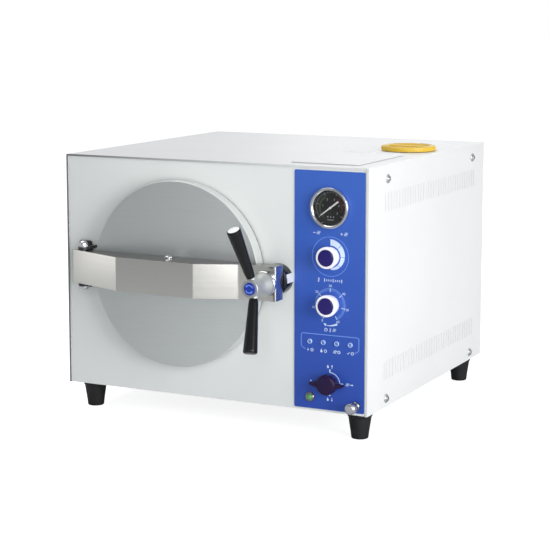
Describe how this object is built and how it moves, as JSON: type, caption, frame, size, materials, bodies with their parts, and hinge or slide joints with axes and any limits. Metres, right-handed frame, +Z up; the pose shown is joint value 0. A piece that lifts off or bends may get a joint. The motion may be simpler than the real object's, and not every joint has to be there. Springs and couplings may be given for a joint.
{
  "type": "benchtop autoclave",
  "caption": "Bench-top steam steriliser: boxed case on feet, round pressure door with a swinging clamp bar and two-armed lock, control strip, water tank lid and filler cap on top.",
  "frame": {"origin": "centre of the bounding box, on the floor under the feet", "axes": "+X to the machine's right as its front is faced, +Y to the back, +Z up"},
  "size_m": [0.4884, 0.5998, 0.387],
  "materials": {
    "white_paint": "satin powder coat",
    "satin_steel": "satin",
    "chrome": "polished",
    "zinc_plate": "zinc plated",
    "brass": "machined",
    "black_steel": "black satin",
    "black_plastic": "semi-gloss",
    "rubber": "matt",
    "silicone": "satin",
    "blue_label": "printed film",
    "blue_cap": "gloss",
    "knob_white": "gloss",
    "dial_black": "matt print",
    "needle_white": "satin",
    "glass": "clear",
    "green_lens": "clear lens",
    "yellow_cap": "moulded",
    "wool": "mineral wool",
    "tank_plastic": "moulded",
    "board_green": "circuit board"
  },
  "bodies": {
    "cabinet": {"front_panel": "white_paint", "outer_cover": "white_paint", "rear_panel": "white_paint", "chamber_vessel": "satin_steel", "heating_element": "satin_steel", "tray_rack": "satin_steel", "instrument_tray_1": "satin_steel", "instrument_tray_2": "satin_steel", "hinge_pin": "chrome", "lock_socket": "chrome", "gauge_case": "chrome", "screw_left_front_low": "chrome", "screw_left_front_high": "chrome", "screw_left_rear_low": "chrome", "screw_left_rear_high": "chrome", "screw_right_front_low": "chrome", "screw_right_front_high": "chrome", "screw_right_rear_low": "chrome", "screw_right_rear_high": "chrome", "base_tray": "zinc_plate", "vessel_cradle": "zinc_plate", "selector_valve": "brass", "drain_valve": "brass", "safety_valve": "brass", "hinge_bracket": "black_steel", "thermostat_body": "black_plastic", "timer_body": "black_plastic", "mains_inlet": "black_plastic", "foot_front_left": "rubber", "foot_front_right": "rubber", "foot_rear_left": "rubber", "foot_rear_right": "rubber", "door_seal": "silicone", "control_label": "blue_label", "gauge_dial": "dial_black", "gauge_glass": "glass", "pilot_lamp": "green_lens", "insulation_jacket": "wool", "water_tank": "tank_plastic", "drain_pipe": "tank_plastic", "indicator_board": "board_green"},
    "door": {"door_cover": "satin_steel", "door_plate": "satin_steel", "door_pivot_block": "zinc_plate", "door_pivot_pin": "chrome", "clamp_bar": "satin_steel", "spindle_bush": "satin_steel"},
    "handle": {"lock_hub": "chrome", "hub_cap": "blue_cap", "upper_grip": "black_plastic", "lower_grip": "black_plastic", "lock_spindle": "satin_steel"},
    "temperature_control": {"temperature_knob": "knob_white"},
    "timer_control": {"timer_knob": "knob_white"},
    "selector": {"selector_knob": "black_plastic"},
    "drain_control": {"drain_knob": "chrome"},
    "pressure_needle": {"gauge_needle": "needle_white"},
    "water_lid": {"tank_lid": "white_paint"},
    "filler": {"filler_cap": "yellow_cap"},
    "safety_pull": {"safety_valve_pull": "chrome"}
  },
  "joints": [
    {"name": "door_swing", "type": "hinge", "parent": "cabinet", "child": "door", "pos_m": [-0.1965, -0.2084, 0.218], "axis": [0, 0, -1], "range_deg": [0, 110]},
    {"name": "handle_turn", "type": "hinge", "parent": "door", "child": "handle", "pos_m": [0.105, -0.2544, 0.219], "axis": [0, 1, 0], "range_deg": [0, 90]},
    {"name": "temperature_knob_turn", "type": "hinge", "parent": "cabinet", "child": "temperature_control", "pos_m": [0.1845, -0.1924, 0.2564], "axis": [0, 1, 0], "range_deg": [0, 270]},
    {"name": "timer_knob_turn", "type": "hinge", "parent": "cabinet", "child": "timer_control", "pos_m": [0.1845, -0.1924, 0.1902], "axis": [0, 1, 0], "range_deg": [0, 306]},
    {"name": "selector_turn", "type": "hinge", "parent": "cabinet", "child": "selector", "pos_m": [0.1845, -0.1924, 0.0808], "axis": [0, 1, 0], "range_deg": [-90, 90]},
    {"name": "drain_knob_turn", "type": "hinge", "parent": "cabinet", "child": "drain_control", "pos_m": [0.2236, -0.2004, 0.0528], "axis": [0, -1, 0], "range_deg": [0, 540]},
    {"name": "pressure_needle_swing", "type": "hinge", "parent": "cabinet", "child": "pressure_needle", "pos_m": [0.1845, -0.185, 0.3232], "axis": [0, 1, 0], "range_deg": [0, 270], "stiffness_Nm_per_rad": 0.0005},
    {"name": "water_lid_swing", "type": "hinge", "parent": "cabinet", "child": "water_lid", "pos_m": [0.162, 0.0076, 0.3808], "axis": [-1, 0, 0], "range_deg": [0, 100]},
    {"name": "filler_cap_turn", "type": "hinge", "parent": "cabinet", "child": "filler", "pos_m": [0.188, 0.0876, 0.379], "axis": [0, 0, 1], "range_deg": [0, 90]},
    {"name": "safety_pull_slide", "type": "slide", "parent": "cabinet", "child": "safety_pull", "axis": [0, 1, 0], "range_m": [0, 0.003], "stiffness_N_per_m": 400}
  ]
}
